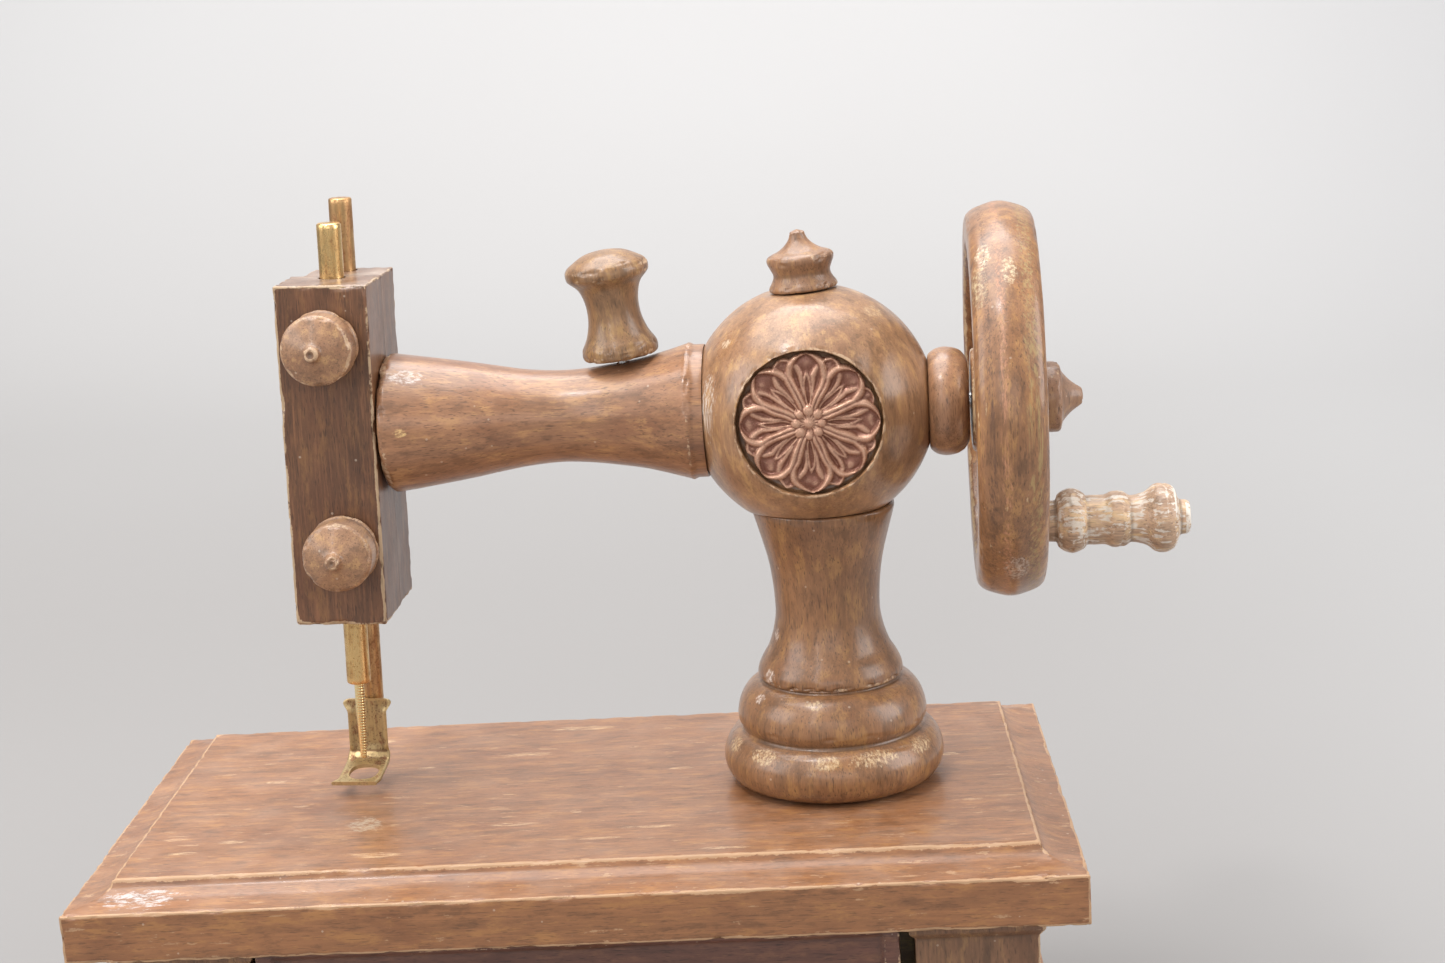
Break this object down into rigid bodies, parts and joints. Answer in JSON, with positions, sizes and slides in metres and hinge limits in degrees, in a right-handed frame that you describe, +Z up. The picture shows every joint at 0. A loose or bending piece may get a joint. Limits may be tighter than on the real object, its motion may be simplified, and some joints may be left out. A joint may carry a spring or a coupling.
{
  "type": "hand crank music box",
  "caption": "Wooden toy sewing machine music box: a crank wheel turns the shafts of a pinned-cylinder movement inside a cabinet with a drawer.",
  "frame": {"origin": "centre of the cabinet base board's flat underside, on the surface that the box stands on", "axes": "+X runs along the cabinet towards the crank wheel, +Y points to the back, +Z is up"},
  "size_m": [0.261, 0.1241, 0.225],
  "materials": {
    "walnut": "mid-brown stained, satin, worn pale at the edges",
    "dark_walnut": "darker stain, satin, worn edges",
    "drawer_red": "dark reddish stain, satin",
    "worn_pale": "finish worn off, matt",
    "raw_wood": "unfinished, matt",
    "copper": "stamped sheet, copper brown, rubbed highlights",
    "brass": "tarnished",
    "dark_brass": "dark, tarnished",
    "steel": "plain turned"
  },
  "bodies": {
    "cabinet_and_head": {"top_board": "walnut", "base_board": "walnut", "front_post_left": "walnut", "front_post_right": "walnut", "side_panel_left": "walnut", "side_panel_right": "walnut", "back_panel": "walnut", "column": "walnut", "ball_housing": "walnut", "ball_finial": "walnut", "arm": "walnut", "bearing_bead": "walnut", "head_front_half": "dark_walnut", "head_back_half": "dark_walnut", "upper_button": "dark_walnut", "lower_button": "dark_walnut", "partition_board": "raw_wood", "flower_medallion": "copper", "floor_bush": "brass", "column_bush": "brass", "movement_bedplate": "dark_brass", "spool_peg": "steel", "music_comb": "steel", "comb_screw_1": "steel", "comb_screw_2": "steel", "bedplate_screw_1": "steel", "bedplate_screw_2": "steel", "column_screw_1": "steel", "column_screw_2": "steel"},
    "wheel": {"hand_wheel": "walnut", "hub_cap": "walnut", "main_shaft": "steel", "crank_disc": "brass", "main_bevel_gear": "brass", "crank_spindle": "steel"},
    "grip": {"crank_grip": "worn_pale"},
    "column_drive": {"column_shaft": "steel", "column_bevel_gear": "brass", "shaft_pinion": "brass"},
    "cylinder": {"music_cylinder": "brass", "cylinder_arbor": "steel", "cylinder_gear": "brass"},
    "needle_bar_group": {"needle_bar": "brass", "needle": "brass", "needle_yoke": "dark_brass"},
    "presser_group": {"presser_bar": "brass", "presser_foot": "dark_brass"},
    "drawer": {"drawer_front": "drawer_red", "drawer_side_left": "raw_wood", "drawer_side_right": "raw_wood", "drawer_back": "raw_wood", "drawer_bottom": "raw_wood", "drawer_knob": "walnut", "drawer_knob_screw": "steel"},
    "spool": {"spool_knob": "walnut"}
  },
  "joints": [
    {"name": "wheel_spin", "type": "hinge", "parent": "cabinet_and_head", "child": "wheel", "pos_m": [0.10336, -0.00189, 0.1718], "axis": [0.999, -0.0436, 0], "continuous": true},
    {"name": "grip_spin", "type": "hinge", "parent": "wheel", "child": "grip", "pos_m": [0.12594, -0.00288, 0.1418], "axis": [0.999, -0.0436, 0], "continuous": true},
    {"name": "column_shaft_spin", "type": "hinge", "parent": "cabinet_and_head", "child": "column_drive", "pos_m": [0.06, 0, 0.1], "axis": [0, 0, 1], "continuous": true},
    {"name": "cylinder_spin", "type": "hinge", "parent": "cabinet_and_head", "child": "cylinder", "pos_m": [0.06, 0.022, 0.04], "axis": [0, 0, 1], "continuous": true},
    {"name": "needle_bar_slide", "type": "slide", "parent": "cabinet_and_head", "child": "needle_bar_group", "axis": [0.0244, -0.0011, 0.9997], "range_m": [-0.005, 0.005]},
    {"name": "presser_bar_slide", "type": "slide", "parent": "cabinet_and_head", "child": "presser_group", "axis": [0.0244, -0.0011, 0.9997], "range_m": [-0.002, 0.006]},
    {"name": "drawer_slide", "type": "slide", "parent": "cabinet_and_head", "child": "drawer", "axis": [0, -1, 0], "range_m": [0, 0.03]},
    {"name": "spool_spin", "type": "hinge", "parent": "cabinet_and_head", "child": "spool", "pos_m": [0.01418, 0.002, 0.18551], "axis": [-0.1131, 0.0049, 0.9936], "continuous": true}
  ],
  "couplings": [
    {"joint": "column_shaft_spin", "follows": "wheel_spin", "ratio": 1},
    {"joint": "cylinder_spin", "follows": "wheel_spin", "ratio": -0.25}
  ]
}
